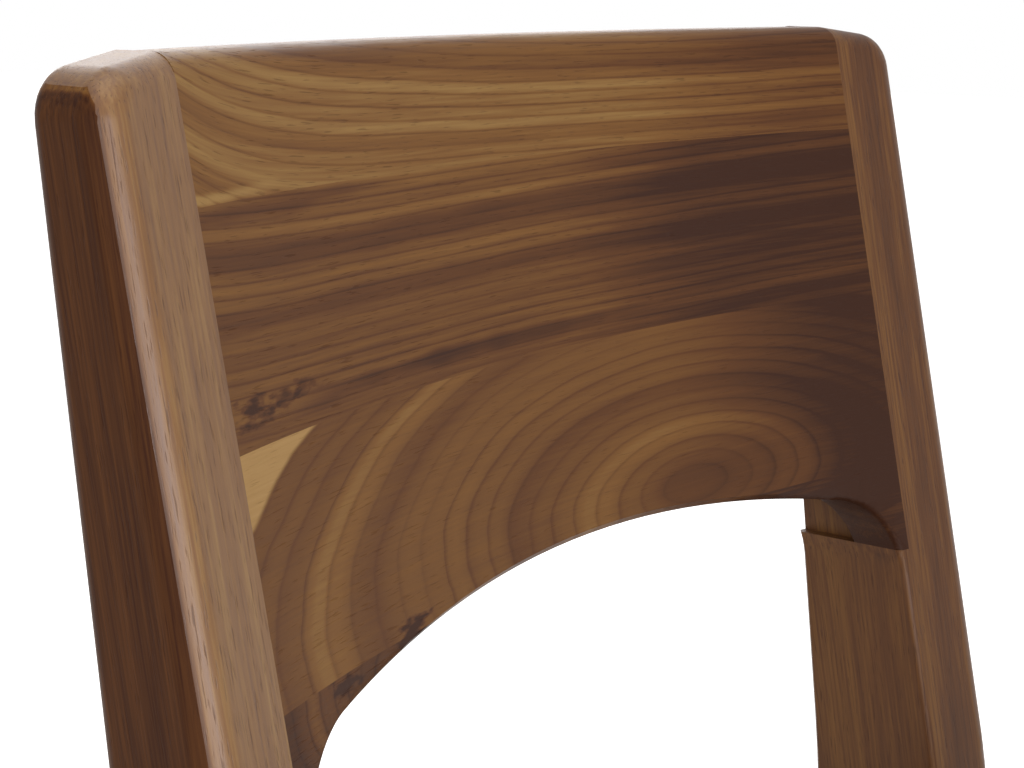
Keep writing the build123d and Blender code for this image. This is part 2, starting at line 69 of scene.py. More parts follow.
BODY = "root"

# Places read from the frame
TOP_LOW, TOP_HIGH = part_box("back_stave_top")
POST_LOW, POST_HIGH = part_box("right_rear_leg")
COVER_LOW, COVER_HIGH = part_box("seat_cover")
FOAM_LOW, FOAM_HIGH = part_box("seat_foam")
DUST_LOW, DUST_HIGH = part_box("seat_dust_cover")
BOARD_LOW, BOARD_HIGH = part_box("seat_board")

# The scoop of the back: its rake, the curve of its front and where that front is at the top
RAKE = math.radians(12)
HALF_PANEL = TOP_HIGH.x
SCOOP_SAG = 0.0272 / math.cos(RAKE)
SCOOP_BEND = SCOOP_SAG / HALF_PANEL**2
TOP_LEVEL = TOP_HIGH.z
END_FRONT = TOP_LOW.y + (TOP_HIGH.z - TOP_LOW.z) * math.tan(RAKE)
MIDDLE_FRONT = END_FRONT + SCOOP_SAG
POST_LEAN = math.radians(10.5)

# Points closer than this are one, and a sharper edge than this stays plain
WELD_REACH = 0.00002
PLAIN_EDGE = math.radians(50)


def linear(code):
    """Scene-linear colour of a six-digit display colour."""
    channels = [int(code[start:start + 2], 16) / 255 for start in (0, 2, 4)]
    return (
        *[part / 12.92 if part <= 0.04045 else ((part + 0.055) / 1.055) ** 2.4 for part in channels],
        1,
    )


def colour(name, description, code):
    """Property for a colour that a user may change."""
    return FloatVectorProperty(
        name=name, description=description, subtype="COLOR", size=4, min=0, max=1, default=linear(code)
    )


def length(name, description, default):
    """Property for a size in metres."""
    return FloatProperty(name=name, description=description, unit="LENGTH", precision=4, default=default)


def angle(name, description, degrees):
    """Property for an angle."""
    size = math.radians(degrees)
    return FloatProperty(name=name, description=description, subtype="ANGLE", default=size)


def power(name, description, watts):
    """Property for the power of a light."""
    return FloatProperty(name=name, description=description, unit="POWER", default=watts)


class ChairWood(bpy.types.PropertyGroup):
    """Colours and gloss of the oiled walnut and of the beech inside the frame."""

    dark: colour("Dark heart", "Purple-brown of the darkest rings", "331a0e")
    heart: colour("Heart", "Reddish brown of most of the wood", "543219")
    middle: colour("Middle", "Warm brown between the rings", "6e4924")
    light: colour("Light", "Golden brown of the pale bands", "8b693c")
    sapwood: colour("Sapwood", "Cream of the outermost rings", "a07c4c")
    beech_dark: colour("Beech flecks", "Darker flecks of the hidden beech", "a97f55")
    beech: colour("Beech", "Pale tan of the hidden beech", "c9a277")
    beech_light: colour("Beech light", "Lightest tan of the hidden beech", "dcbb92")
    sheen: colour("Sheen", "Warm tint of the oil's reflection", "fff0e6")
    ring_width: length("Ring width", "Growth of one year", 0.0058)
    gloss: FloatProperty(
        name="Gloss",
        description="Strength of the satin oil",
        subtype="FACTOR",
        min=0,
        max=1,
        default=0.12,
    )


class ChairSeat(bpy.types.PropertyGroup):
    """Cloth of the seat and how it is pulled over the pad."""

    thread: colour("Thread", "Main colour of the woven cloth", "9a9082")
    # colour painted into the hollows of the weave as shade
    shade: colour("Shaded thread", "Colour between the threads", "6a6157")
    dust_cloth: colour("Dust cloth", "Black cloth under the seat", "1b1a1a")
    pitch: length("Thread pitch", "Distance from one thread to the next", 0.0016)
    thickness: length("Thickness", "Thickness of the cover", 0.0015)
    turned_under: length("Turned under", "Cloth turned under the board", 0.052)
    voxel: length("Mesh size", "Size of the pad's mesh before it is blown up", 0.0048)
    dome: length("Dome", "Most that the middle of the seat rises", 0.0075)
    bulge: length("Bulge", "Most that a side of the seat swells", 0.0012)
    pressure: FloatProperty(
        name="Pressure", description="Push of the foam against the cover", min=0, max=20, default=4
    )
    frames: IntProperty(
        name="Steps", description="Steps of the cloth simulation", min=1, max=40, default=20
    )


class ChairFittings(bpy.types.PropertyGroup):
    """Metal and plastic of the small fittings."""

    steel: colour("Steel", "Zinc-plated screws, bolts and staples", "b9bcc0")
    plastic: colour("Plastic", "Glides under the feet", "2c2926")


class ChairStage(bpy.types.PropertyGroup):
    """Floor, lights and camera."""

    floor: colour("Floor", "Pale floor", "f2f1ef")
    yaw: angle("Yaw", "Camera turned to the right from straight back", 53.1)
    pitch: angle("Pitch", "Camera turned down", 11.8)
    roll: angle("Roll", "Camera turned about its axis", 0.588)
    lens: FloatProperty(name="Lens", description="Focal length", unit="CAMERA", default=70.35)
    camera_place: FloatVectorProperty(
        name="Camera place",
        description="Where the camera stands",
        subtype="TRANSLATION",
        unit="LENGTH",
        default=(-0.6062, END_FRONT - 0.4287, TOP_LEVEL + 0.0252),
    )
    key_power: power("Key", "Power of the light in front", 31)
    top_power: power("Top", "Power of the light overhead", 16)
    window_power: power("Window", "Power of the light at the left", 8)
    rear_power: power("Rear", "Power of the light behind", 20)
    ambient: FloatProperty(
        name="Ambient", description="Strength of the even light", min=0, max=2, default=0.32
    )


# Node helpers
def add_node(tree, kind, inputs=None, **settings):
    """A node with its settings, whose sockets take values or links."""
    made = tree.nodes.new(kind)
    for name, value in settings.items():
        setattr(made, name, value)
    for socket, value in (inputs or {}).items():
        if isinstance(value, bpy.types.NodeSocket):
            tree.links.new(value, made.inputs[socket])
        else:
            made.inputs[socket].default_value = value
    return made


def number(tree, operation, *values):
    """Output of a Math node."""
    return add_node(tree, "ShaderNodeMath", dict(enumerate(values)), operation=operation).outputs[0]


def vector(tree, operation, *values):
    """Output of a Vector Math node."""
    made = add_node(tree, "ShaderNodeVectorMath", dict(enumerate(values)), operation=operation)
    return made.outputs["Value" if operation == "LENGTH" else "Vector"]


def spread(tree, value, low, high, to_low=0.0, to_high=1.0):
    """A value taken smoothly from one range to another."""
    inputs = {"Value": value, "From Min": low, "From Max": high, "To Min": to_low, "To Max": to_high}
    made = add_node(tree, "ShaderNodeMapRange", inputs, interpolation_type="SMOOTHSTEP")
    return made.outputs["Result"]


def noise(tree, place, scale, detail=2.0, kind="3D"):
    """Noise between 0 and 1, from a place or from one number."""
    socket = "W" if kind == "1D" else "Vector"
    inputs = {socket: place, "Scale": scale, "Detail": detail}
    return add_node(tree, "ShaderNodeTexNoise", inputs, noise_dimensions=kind).outputs[0]


def colour_ramp(tree, value, stops):
    """Colour, or a level, read off a ramp."""
    made = add_node(tree, "ShaderNodeValToRGB", {"Fac": value})
    points = made.color_ramp.elements
    points.remove(points[1])
    for index, (place, tint) in enumerate(stops):
        point = points[0] if index == 0 else points.new(place)
        point.position = place
        point.color = tuple(tint)
    return made.outputs["Color"]


def mixed(tree, share, first, second, blend="MIX"):
    """Two colours mixed."""
    made = add_node(tree, "ShaderNodeMix", data_type="RGBA", blend_type=blend)
    for socket, value in (("Factor_Float", share), ("A_Color", first), ("B_Color", second)):
        target = next(item for item in made.inputs if item.identifier == socket)
        if isinstance(value, bpy.types.NodeSocket):
            tree.links.new(value, target)
        else:
            target.default_value = value
    return next(item for item in made.outputs if item.identifier == "Result_Color")


def grey(level):
    """Level as a colour stop."""
    return (level, level, level, 1)


def new_material(name):
    """Empty material: its tree and its surface shader."""
    material = bpy.data.materials.new(name)
    material.use_nodes = True
    return material, material.node_tree, material.node_tree.nodes["Principled BSDF"]


def roughen(tree, shader, height, strength, distance):
    """Bumps a surface by a height."""
    relief = {"Strength": strength, "Distance": distance, "Height": height}
    bump = add_node(tree, "ShaderNodeBump", relief)
    tree.links.new(bump.outputs[0], shader.inputs["Normal"])


def paint(node, material):
    """Gives a CAD node a finish, and shades its facets smoothly up to a plain edge."""
    item = NODES[node]
    if not item.material_slots:
        item.data.materials.append(material)
    for place in item.material_slots:
        place.material = material
    if "custom_normal" in item.data.attributes:
        item.data.attributes.remove(item.data.attributes["custom_normal"])
    item.data.polygons.foreach_set("use_smooth", [True] * len(item.data.polygons))
    weld = item.modifiers.new("weld", "WELD")
    weld.merge_threshold = WELD_REACH
    edges = item.modifiers.new("edges", "EDGE_SPLIT")
    edges.split_angle = PLAIN_EDGE
    weighted = item.modifiers.new("flats", "WEIGHTED_NORMAL")
    weighted.weight = 100


# Wood
FIGURE_INPUTS = (
    ("Place", "NodeSocketVector"),
    ("Centre", "NodeSocketVector"),
    ("Stretch", "NodeSocketFloat"),
    ("Ring width", "NodeSocketFloat"),
    ("Wander", "NodeSocketFloat"),
    ("Seed", "NodeSocketFloat"),
    ("Sapwood", "NodeSocketFloat"),
    ("Shade", "NodeSocketFloat"),
    ("Contrast", "NodeSocketFloat"),
    ("Fibre", "NodeSocketFloat"),
    ("Band", "NodeSocketFloat"),
    ("Band width", "NodeSocketFloat"),
    ("Band shade", "NodeSocketFloat"),
)
FIGURE_OUTPUTS = (
    ("Color", "NodeSocketColor"),
    ("Roughness", "NodeSocketFloat"),
    ("Height", "NodeSocketFloat"),
)

# How often each part of the figure changes in a metre, along the grain and twice across it
SLOW_SWAY = (5, 14, 20)
QUICK_SWAY = (22, 60, 90)
FIBRES = (22, 900, 900)
STREAKS = (6, 170, 170)
PORES = (95, 1700, 1700)


def wood_figure(name, tones, sapwood, pore_depth):
    """Node group of growth rings round a pith along the place's X, with fibres and pores."""
    tree = bpy.data.node_groups.new(name, "ShaderNodeTree")
    for socket, kind in FIGURE_INPUTS:
        tree.interface.new_socket(name=socket, in_out="INPUT", socket_type=kind)
    for socket, kind in FIGURE_OUTPUTS:
        tree.interface.new_socket(name=socket, in_out="OUTPUT", socket_type=kind)
    given = tree.nodes.new("NodeGroupInput").outputs
    place = given["Place"]
    seeded = vector(tree, "ADD", place, combined(tree, given["Seed"], 0.0, 0.0))

    # Distance from the pith, stretched along the grain and wandering a little
    offset = vector(tree, "SUBTRACT", place, given["Centre"])
    squeeze = combined(tree, number(tree, "DIVIDE", 1.0, given["Stretch"]), 1.0, 1.0)
    distance = vector(tree, "LENGTH", vector(tree, "MULTIPLY", offset, squeeze))
    slow = noise(tree, vector(tree, "MULTIPLY", seeded, SLOW_SWAY), 1.0, 1.0)
    quick = noise(tree, vector(tree, "MULTIPLY", seeded, QUICK_SWAY), 1.0, 2.0)
    sway = number(tree, "SUBTRACT", slow, 0.5)
    sway = number(tree, "ADD", sway, number(tree, "MULTIPLY", quick, 0.16))
    wandered = number(tree, "MULTIPLY_ADD", sway, given["Wander"], distance)

    # Rings: each year has its own depth of colour and a thin dark edge
    years = number(tree, "DIVIDE", wandered, given["Ring width"])
    season = number(tree, "FRACT", years)
    year = number(tree, "ADD", number(tree, "FLOOR", years), given["Seed"])
    own = add_node(tree, "ShaderNodeTexWhiteNoise", {"W": year}, noise_dimensions="1D").outputs["Value"]
    edge_levels = ((0.0, 0.55), (0.1, 0.12), (0.45, 0.0), (0.8, 0.3), (0.95, 1.0))
    edge = colour_ramp(tree, season, [(share, grey(level)) for share, level in edge_levels])
    zone_place = number(tree, "ADD", number(tree, "MULTIPLY", wandered, 60.0), given["Seed"])
    zone = noise(tree, zone_place, 1.0, 1.0, "1D")
    fibre = noise(tree, vector(tree, "MULTIPLY", seeded, FIBRES), 1.0, 2.0)
    streak = noise(tree, vector(tree, "MULTIPLY", seeded, STREAKS), 1.0, 2.0)
    pore_noise = noise(tree, vector(tree, "MULTIPLY", seeded, PORES), 1.0, 1.0)
    pore = spread(tree, pore_noise, 0.6, 0.72)

    # Tone
    edge_weight = number(tree, "MULTIPLY_ADD", own, 0.3, 0.06)
    rings = number(tree, "MULTIPLY", number(tree, "SUBTRACT", zone, 0.5), 0.8)
    rings = number(tree, "MULTIPLY_ADD", number(tree, "SUBTRACT", own, 0.5), 0.16, rings)
    rings = number(tree, "SUBTRACT", rings, number(tree, "MULTIPLY", edge, edge_weight))
    tone = number(tree, "MULTIPLY_ADD", rings, given["Contrast"], 0.5)
    lines = number(tree, "MULTIPLY", number(tree, "SUBTRACT", fibre, 0.5), 0.45)
    lines = number(tree, "MULTIPLY_ADD", number(tree, "SUBTRACT", streak, 0.5), 0.3, lines)
    tone = number(tree, "MULTIPLY_ADD", lines, given["Fibre"], tone)
    tone = number(tree, "ADD", tone, given["Shade"])
    from_band = number(tree, "ABSOLUTE", number(tree, "SUBTRACT", wandered, given["Band"]))
    in_band = spread(tree, from_band, given["Band width"], 0.0)
    tone = number(tree, "MULTIPLY_ADD", in_band, given["Band shade"], tone)
    brown = colour_ramp(tree, tone, tones)
    pale_edge = number(tree, "SUBTRACT", wandered, given["Sapwood"])
    pale_share = spread(tree, pale_edge, -0.0006, 0.0006)
    pale = mixed(tree, number(tree, "MULTIPLY", fibre, 0.45), sapwood, tones[2][1])
    wood = mixed(tree, pale_share, brown, pale)
    pore_share = number(tree, "MULTIPLY", number(tree, "MULTIPLY", pore, pore_depth), given["Fibre"])
    wood = mixed(tree, pore_share, wood, tones[0][1])

    result = tree.nodes.new("NodeGroupOutput").inputs
    tree.links.new(wood, result["Color"])
    rough = number(tree, "MULTIPLY_ADD", fibre, 0.16, 0.34)
    tree.links.new(number(tree, "MULTIPLY_ADD", pore, 0.12, rough), result["Roughness"])
    height = number(tree, "MULTIPLY_ADD", pore, -1.0, number(tree, "MULTIPLY", fibre, 0.45))
    tree.links.new(number(tree, "MULTIPLY_ADD", edge, -0.1, height), result["Height"])
    return tree


def figure_group(kind):
    """The walnut or the beech figure, made once."""
    wood = bpy.context.scene.chair_wood
    if kind not in bpy.data.node_groups:
        if kind == "walnut_figure":
            tones = (
                (0.08, wood.dark),
                (0.38, wood.heart),
                (0.62, wood.middle),
                (0.9, wood.light),
            )
            wood_figure(kind, tones, tuple(wood.sapwood), 0.5)
        else:
            tones = ((0.1, wood.beech_dark), (0.5, wood.beech), (0.9, wood.beech_light))
            wood_figure(kind, tones, tuple(wood.beech_light), 0.3)
    return bpy.data.node_groups[kind]


def object_axes(tree):
    """X, Y and Z of the place in the chair."""
    place = tree.nodes.new("ShaderNodeTexCoord").outputs["Object"]
    return add_node(tree, "ShaderNodeSeparateXYZ", {"Vector": place}).outputs


def combined(tree, x, y, z):
    """Place put together from three numbers."""
    return add_node(tree, "ShaderNodeCombineXYZ", {"X": x, "Y": y, "Z": z}).outputs[0]


def board_place(tree):
    """Along a board of the back, into its thickness from the scooped front, and up."""
    x, y, z = object_axes(tree)
    curve = number(tree, "MULTIPLY", number(tree, "MULTIPLY", x, x), SCOOP_BEND)
    lean = number(tree, "MULTIPLY_ADD", z, -math.tan(RAKE), TOP_LEVEL * math.tan(RAKE) - MIDDLE_FRONT)
    return combined(tree, x, number(tree, "ADD", number(tree, "ADD", y, curve), lean), z)


def post_place(tree):
    """Up a raked post, back and across."""
    x, y, z = object_axes(tree)
    return combined(tree, z, number(tree, "MULTIPLY_ADD", z, -math.tan(POST_LEAN), y), x)


def leg_place(tree):
    """Up a front leg, back and across."""
    x, y, z = object_axes(tree)
    return combined(tree, z, y, x)


def cross_place(tree):
    """Along a rail that runs across the chair."""
    x, y, z = object_axes(tree)
    return combined(tree, x, y, z)


def side_place(tree):
    """Along a rail that runs from front to back."""
    x, y, z = object_axes(tree)
    return combined(tree, y, x, z)


def swerved(tree, place, rise, reach):
    """Grain that climbs towards the left end of a board."""
    x, y, z = add_node(tree, "ShaderNodeSeparateXYZ", {"Vector": place}).outputs
    from_end = number(tree, "MULTIPLY_ADD", x, -1 / reach, -HALF_PANEL / reach)
    climb = number(tree, "MULTIPLY", number(tree, "EXPONENT", from_end), -rise)
    return combined(tree, x, y, number(tree, "ADD", z, climb))


def wood_material(name, place_of, figure, kind="walnut_figure", shades=(), swerve=None, gloss=None):
    """Oiled wood: the figure of one board, with shades that darken or lighten parts of it."""
    wood = bpy.context.scene.chair_wood
    material, tree, shader = new_material(name)
    place = place_of(tree)
    group = add_node(tree, "ShaderNodeGroup", node_tree=figure_group(kind))
    tree.links.new(swerved(tree, place, *swerve) if swerve else place, group.inputs["Place"])
    for socket, value in figure.items():
        group.inputs[socket].default_value = value
    total = None
    for make_shade in shades:
        part = make_shade(tree, place)
        total = part if total is None else number(tree, "ADD", total, part)
    if total is not None:
        tree.links.new(number(tree, "ADD", total, figure["Shade"]), group.inputs["Shade"])
    roughen(tree, shader, group.outputs["Height"], 0.28, 0.0003)
    tree.links.new(group.outputs["Color"], shader.inputs["Base Color"])
    tree.links.new(group.outputs["Roughness"], shader.inputs["Roughness"])
    shader.inputs["Specular IOR Level"].default_value = wood.gloss if gloss is None else gloss
    shader.inputs["Specular Tint"].default_value = wood.sheen
    return material


def wood_settings(
    centre,
    stretch,
    ring_share=1.0,
    wander=0.006,
    seed=0.0,
    sapwood=1.0,
    shade=0.0,
    band=(0.0, 0.001, 0.0),
    contrast=1.0,
    fibre=1.0,
):
    """Inputs of a wood figure, from sizes in metres."""
    return {
        "Centre": centre,
        "Stretch": stretch,
        "Ring width": bpy.context.scene.chair_wood.ring_width * ring_share,
        "Wander": wander,
        "Seed": seed,
        "Sapwood": sapwood,
        "Shade": shade,
        "Contrast": contrast,
        "Fibre": fibre,
        "Band": band[0],
        "Band width": band[1],
        "Band shade": band[2],
    }


def knot(x, z, reach, depth):
    """Shade of a dark, ragged knot on a board's front, longer along the grain."""

    def shade(tree, place):
        offset = vector(tree, "SUBTRACT", place, (x, 0.002, z))
        offset = vector(tree, "MULTIPLY", offset, (0.4, 0.3, 1.0))
        ragged = noise(tree, vector(tree, "MULTIPLY", place, (120, 60, 380)), 1.0, 3.0)
        core = number(tree, "MULTIPLY_ADD", ragged, reach * 2.4, vector(tree, "LENGTH", offset))
        return spread(tree, core, reach * 1.2, reach * 2.1, -depth, 0.0)

    return shade


def smear(start, end, level, half, depth):
    """Shade of a soft dark streak along a board."""

    def shade(tree, place):
        x, y, z = add_node(tree, "ShaderNodeSeparateXYZ", {"Vector": place}).outputs
        sway = noise(tree, vector(tree, "MULTIPLY", place, (16, 0, 0)), 1.0, 2.0)
        offset = number(tree, "ABSOLUTE", number(tree, "SUBTRACT", z, level))
        ragged = number(tree, "MULTIPLY_ADD", sway, -2 * half, number(tree, "ADD", offset, half))
        across = spread(tree, ragged, half, 0.0)
        soft = (end - start) * 0.3
        begun = spread(tree, x, start - soft, start + soft)
        not_ended = spread(tree, x, end + soft, end - soft)
        within = number(tree, "MULTIPLY", begun, not_ended)
        return number(tree, "MULTIPLY", number(tree, "MULTIPLY", across, within), -depth)

    return shade


def dark_end(start, end, depth):
    """Shade that deepens along the grain."""

    def shade(tree, place):
        along = add_node(tree, "ShaderNodeSeparateXYZ", {"Vector": place}).outputs[0]
        return spread(tree, along, start, end, 0.0, -depth)

    return shade


def painted_outer_shade(start, end, depth):
    """Painted shade that deepens towards the outer face of a post, darkening the side turned from the
    light.
    """

    def shade(tree, place):
        across = add_node(tree, "ShaderNodeSeparateXYZ", {"Vector": place}).outputs[2]
        return spread(tree, number(tree, "ABSOLUTE", across), start, end, 0.0, -depth)

    return shade


class CHAIR_OT_finish_back(bpy.types.Operator):
    """Oil the boards of the scooped back, each with its own figure"""

    bl_idname = "chair.finish_back"
    bl_label = "Finish Back Boards"

    def execute(self, context):
        boards = {
            "back_stave_top": (
                wood_settings(
                    centre=(0.08, 0.004, 0.83),
                    stretch=9.0,
                    ring_share=0.75,
                    wander=0.005,
                    seed=3.0,
                    shade=0.17,
                    band=(0.05, 0.004, 0.14),
                    contrast=0.8,
                    fibre=0.7,
                ),
                (dark_end(0.03, 0.19, 0.24), smear(-0.22, -0.165, 0.7575, 0.0028, -0.35)),
                (0.016, 0.035),
            ),
            "back_stave_upper": (
                wood_settings(
                    centre=(-0.1, 0.004, 0.83),
                    stretch=8.5,
                    ring_share=0.7,
                    wander=0.005,
                    seed=11.0,
                    band=(0.0872, 0.0046, 0.2),
                    contrast=0.85,
                    fibre=0.7,
                ),
                (
                    dark_end(0.0, 0.12, 0.34),
                    smear(-0.22, -0.1, 0.7525, 0.0045, 0.22),
                    smear(-0.14, 0.04, 0.692, 0.0042, 0.42),
                    knot(-0.188, 0.6945, 0.0062, 0.5),
                    knot(-0.171, 0.6955, 0.0046, 0.4),
                    knot(-0.157, 0.6965, 0.0042, 0.3),
                ),
                (0.003, 0.04),
            ),
            "back_stave_lower": (
                wood_settings(
                    centre=(0.07, 0.004, 0.62),
                    stretch=3.1,
                    ring_share=0.8,
                    wander=0.008,
                    seed=26.0,
                    sapwood=0.098,
                    shade=0.02,
                    band=(0.08, 0.007, 0.07),
                    contrast=0.62,
                    fibre=0.35,
                ),
                (dark_end(0.05, 0.19, 0.42), knot(-0.118, 0.6095, 0.0055, 0.7)),
                None,
            ),
            "back_toe_left": (
                wood_settings(
                    centre=(-0.135, 0.004, 0.602),
                    stretch=1.7,
                    ring_share=0.8,
                    wander=0.012,
                    seed=31.0,
                    shade=-0.14,
                    contrast=0.8,
                    fibre=0.4,
                ),
                (knot(-0.163, 0.605, 0.005, 0.5), knot(-0.118, 0.6065, 0.006, 0.7)),
                None,
            ),
            "back_toe_right": (
                wood_settings(
                    centre=(0.1, 0.004, 0.63),
                    stretch=3.0,
                    wander=0.008,
                    seed=41.0,
                    shade=-0.4,
                    contrast=0.6,
                ),
                (),
                None,
            ),
        }
        for node, (figure, shades, swerve) in boards.items():
            name = f"walnut_{node}"
            paint(node, wood_material(name, board_place, figure, shades=shades, swerve=swerve))
        return {"FINISHED"}


# Seed, shade, depth of the painted shade on the outer face and gloss of each rear post
POST_FINISHES = {
    "left_rear_leg": (5.0, 0.14, 0.36, 0.6),
    "right_rear_leg": (8.0, -0.1, 0.12, 0.25),
}
OUTSIDE_GLOSS = 0.06
OUTWARD = 0.74  # how far a face turns outwards before it takes the dull finish


class CHAIR_OT_finish_legs(bpy.types.Operator):
    """Oil the rear posts, duller and with a painted shade on their outer faces, and the front legs"""

    bl_idname = "chair.finish_legs"
    bl_label = "Finish Legs"

    def execute(self, context):
        outer = POST_HIGH.x
        for node, (seed, shade, depth, gloss) in POST_FINISHES.items():
            hand = -1 if node.startswith("left") else 1
            figure = wood_settings(
                centre=(0.4, 0.08, hand * 0.11),
                stretch=60.0,
                ring_share=0.55,
                wander=0.004,
                seed=seed,
                shade=shade,
                contrast=0.32,
                fibre=1.1,
            )
            # the outer face of each post is darkened with a painted shade
            shades = (painted_outer_shade(outer - 0.0034, outer - 0.0022, depth),)
            name = f"walnut_{node}"
            paint(node, wood_material(name, post_place, figure, shades=shades, gloss=gloss))
            dull = wood_material(f"{name}_outside", post_place, figure, shades=shades, gloss=OUTSIDE_GLOSS)
            mesh = NODES[node].data
            mesh.materials.append(dull)
            for face in mesh.polygons:
                if face.normal.x * hand > OUTWARD:
                    face.material_index = len(mesh.materials) - 1
        for hand, node, seed in ((-1, "left_front_leg", 15.0), (1, "right_front_leg", 18.0)):
            figure = wood_settings(
                centre=(0.2, CAD_BOX[0][1] + 0.08, hand * 0.14), stretch=60.0, wander=0.004, seed=seed
            )
            paint(node, wood_material(f"walnut_{node}", leg_place, figure))
        return {"FINISHED"}


class CHAIR_OT_finish_frame(bpy.types.Operator):
    """Oil the seat rails, and leave the blocks, tenons and board inside them plain"""

    bl_idname = "chair.finish_frame"
    bl_label = "Finish Seat Frame"

    def execute(self, context):
        for node, place_of, seed in (
            ("front_rail", cross_place, 51.0),
            ("back_rail", cross_place, 57.0),
            ("left_side_rail", side_place, 63.0),
            ("right_side_rail", side_place, 69.0),
        ):
            low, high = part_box(node)
            middle = (low + high) / 2
            depth = middle.x if place_of is side_place else middle.y
            centre = (0.03, depth + 0.02, middle.z - 0.09)
            figure = wood_settings(centre, stretch=14.0, wander=0.005, seed=seed)
            paint(node, wood_material(f"walnut_{node}", place_of, figure))
        beech = wood_settings((0, 0, 0.3), stretch=30.0, ring_share=0.5, wander=0.004, seed=77.0)
        plain = wood_material("beech_inside", cross_place, beech, "beech_figure")
        corners = ("front_left", "front_right", "rear_left", "rear_right")
        for node in [f"{corner}_corner_block" for corner in corners] + ["back_tenons", "rail_tenons"]:
            paint(node, plain)
        ply = wood_settings(
            (0, 0, BOARD_LOW.z - 0.3), stretch=40.0, ring_share=0.35, wander=0.01, seed=83.0, shade=0.1
        )
        paint("seat_board", wood_material("plywood_board", cross_place, ply, "beech_figure"))
        return {"FINISHED"}


# Seat: how the pad's mesh is drawn over the board
SKIN_SPARE = 0.0008  # beyond the cover's outline, for what the mesh rounds off
NOTCH_REACH = 0.008  # round the board's corners at the posts
NOTCH_PUSH = 0.0013
CROWN_START = 0.008  # above the board
HELD_HEIGHT = 0.02  # above the board, over which the cover comes loose
CROWN_ROUNDS = 60
TOP_ROUNDS = 160
TOP_FACING = 0.75

# Pleats at the front corners
PLEAT_ROWS = 14
PLEAT_COLUMNS = 5
PLEAT_INSET = 0.03
PLEAT_FOOT = 0.002
PLEAT_HEIGHT = 0.034
PLEAT_CLOTH = 0.001

# Dust cloth
DUST_STEPS = 72
DUST_SAG = 0.0035
DUST_RIPPLE = 0.0003
BOLT_CLEARANCE = 0.0045


def weave(tree, first, second, pitch):
    """Height of a plain weave over two directions."""
    turn = math.pi / pitch
    warp = number(tree, "SINE", number(tree, "MULTIPLY", first, turn))
    weft = number(tree, "SINE", number(tree, "MULTIPLY", second, turn))
    over = number(tree, "MULTIPLY", warp, weft)
    return number(tree, "MULTIPLY_ADD", over, 0.5, 0.5)


def cloth_material():
    """Woven wool: threads that cross at the real pitch on every side, with flecks of colour and a painted
    shade in the hollows between the threads.
    """
    seat = bpy.context.scene.chair_seat
    material, tree, shader = new_material("woven_wool")
    x, y, z = object_axes(tree)
    facing = tree.nodes.new("ShaderNodeNewGeometry").outputs["Normal"]
    across, along, upward = add_node(tree, "ShaderNodeSeparateXYZ", {"Vector": facing}).outputs
    top = weave(tree, x, y, seat.pitch)
    front = weave(tree, x, z, seat.pitch)
    side = weave(tree, y, z, seat.pitch)
    sides = add_node(
        tree,
        "ShaderNodeMix",
        {"Factor": spread(tree, number(tree, "ABSOLUTE", across), 0.6, 0.8), "A": front, "B": side},
    ).outputs["Result"]
    height = add_node(
        tree,
        "ShaderNodeMix",
        {"Factor": spread(tree, number(tree, "ABSOLUTE", upward), 0.5, 0.75), "A": sides, "B": top},
    ).outputs["Result"]
    place = combined(tree, x, y, z)
    fleck = noise(tree, place, 420.0, 3.0)
    broad = noise(tree, place, 9.0, 2.0)
    fuzz = noise(tree, place, 2600.0, 2.0)
    level = number(tree, "MULTIPLY_ADD", number(tree, "SUBTRACT", fleck, 0.5), 1.1, height)
    level = number(tree, "MULTIPLY_ADD", number(tree, "SUBTRACT", broad, 0.5), 0.5, level)
    # the darker colour falls where the weave dips, a painted shade between threads, shifted by real flecks
    # and broad mottling of colour
    shaded = mixed(tree, spread(tree, level, 0.05, 0.95), seat.shade, seat.thread)
    tree.links.new(shaded, shader.inputs["Base Color"])
    rough_height = number(tree, "MULTIPLY_ADD", fuzz, 0.5, height)
    roughen(tree, shader, rough_height, 0.7, 0.0006)
    shader.inputs["Roughness"].default_value = 0.92
    shader.inputs["Specular IOR Level"].default_value = 0.2
    shader.inputs["Sheen Weight"].default_value = 0.25
    shader.inputs["Sheen Roughness"].default_value = 0.5
    return material


def applied(item):
    """The object's mesh with its modifiers applied and taken off."""
    graph = bpy.context.evaluated_depsgraph_get()
    mesh = bpy.data.meshes.new_from_object(item.evaluated_get(graph))
    item.modifiers.clear()
    item.data = mesh
    return mesh


def linked(name, mesh):
    """A new object in the scene."""
    item = bpy.data.objects.new(name, mesh)
    bpy.context.scene.collection.objects.link(item)
    return item


def eased(item, points, rounds, height_only=False):
    """Smooths some points of a mesh, or only their height."""
    group = item.vertex_groups.new(name="eased")
    group.add(points, 1.0, "REPLACE")
    ease = item.modifiers.new("ease", "SMOOTH")
    ease.use_x = not height_only
    ease.use_y = not height_only
    ease.factor = 0.5
    ease.iterations = rounds
    ease.vertex_group = group.name
    applied(item)
    item.vertex_groups.clear()


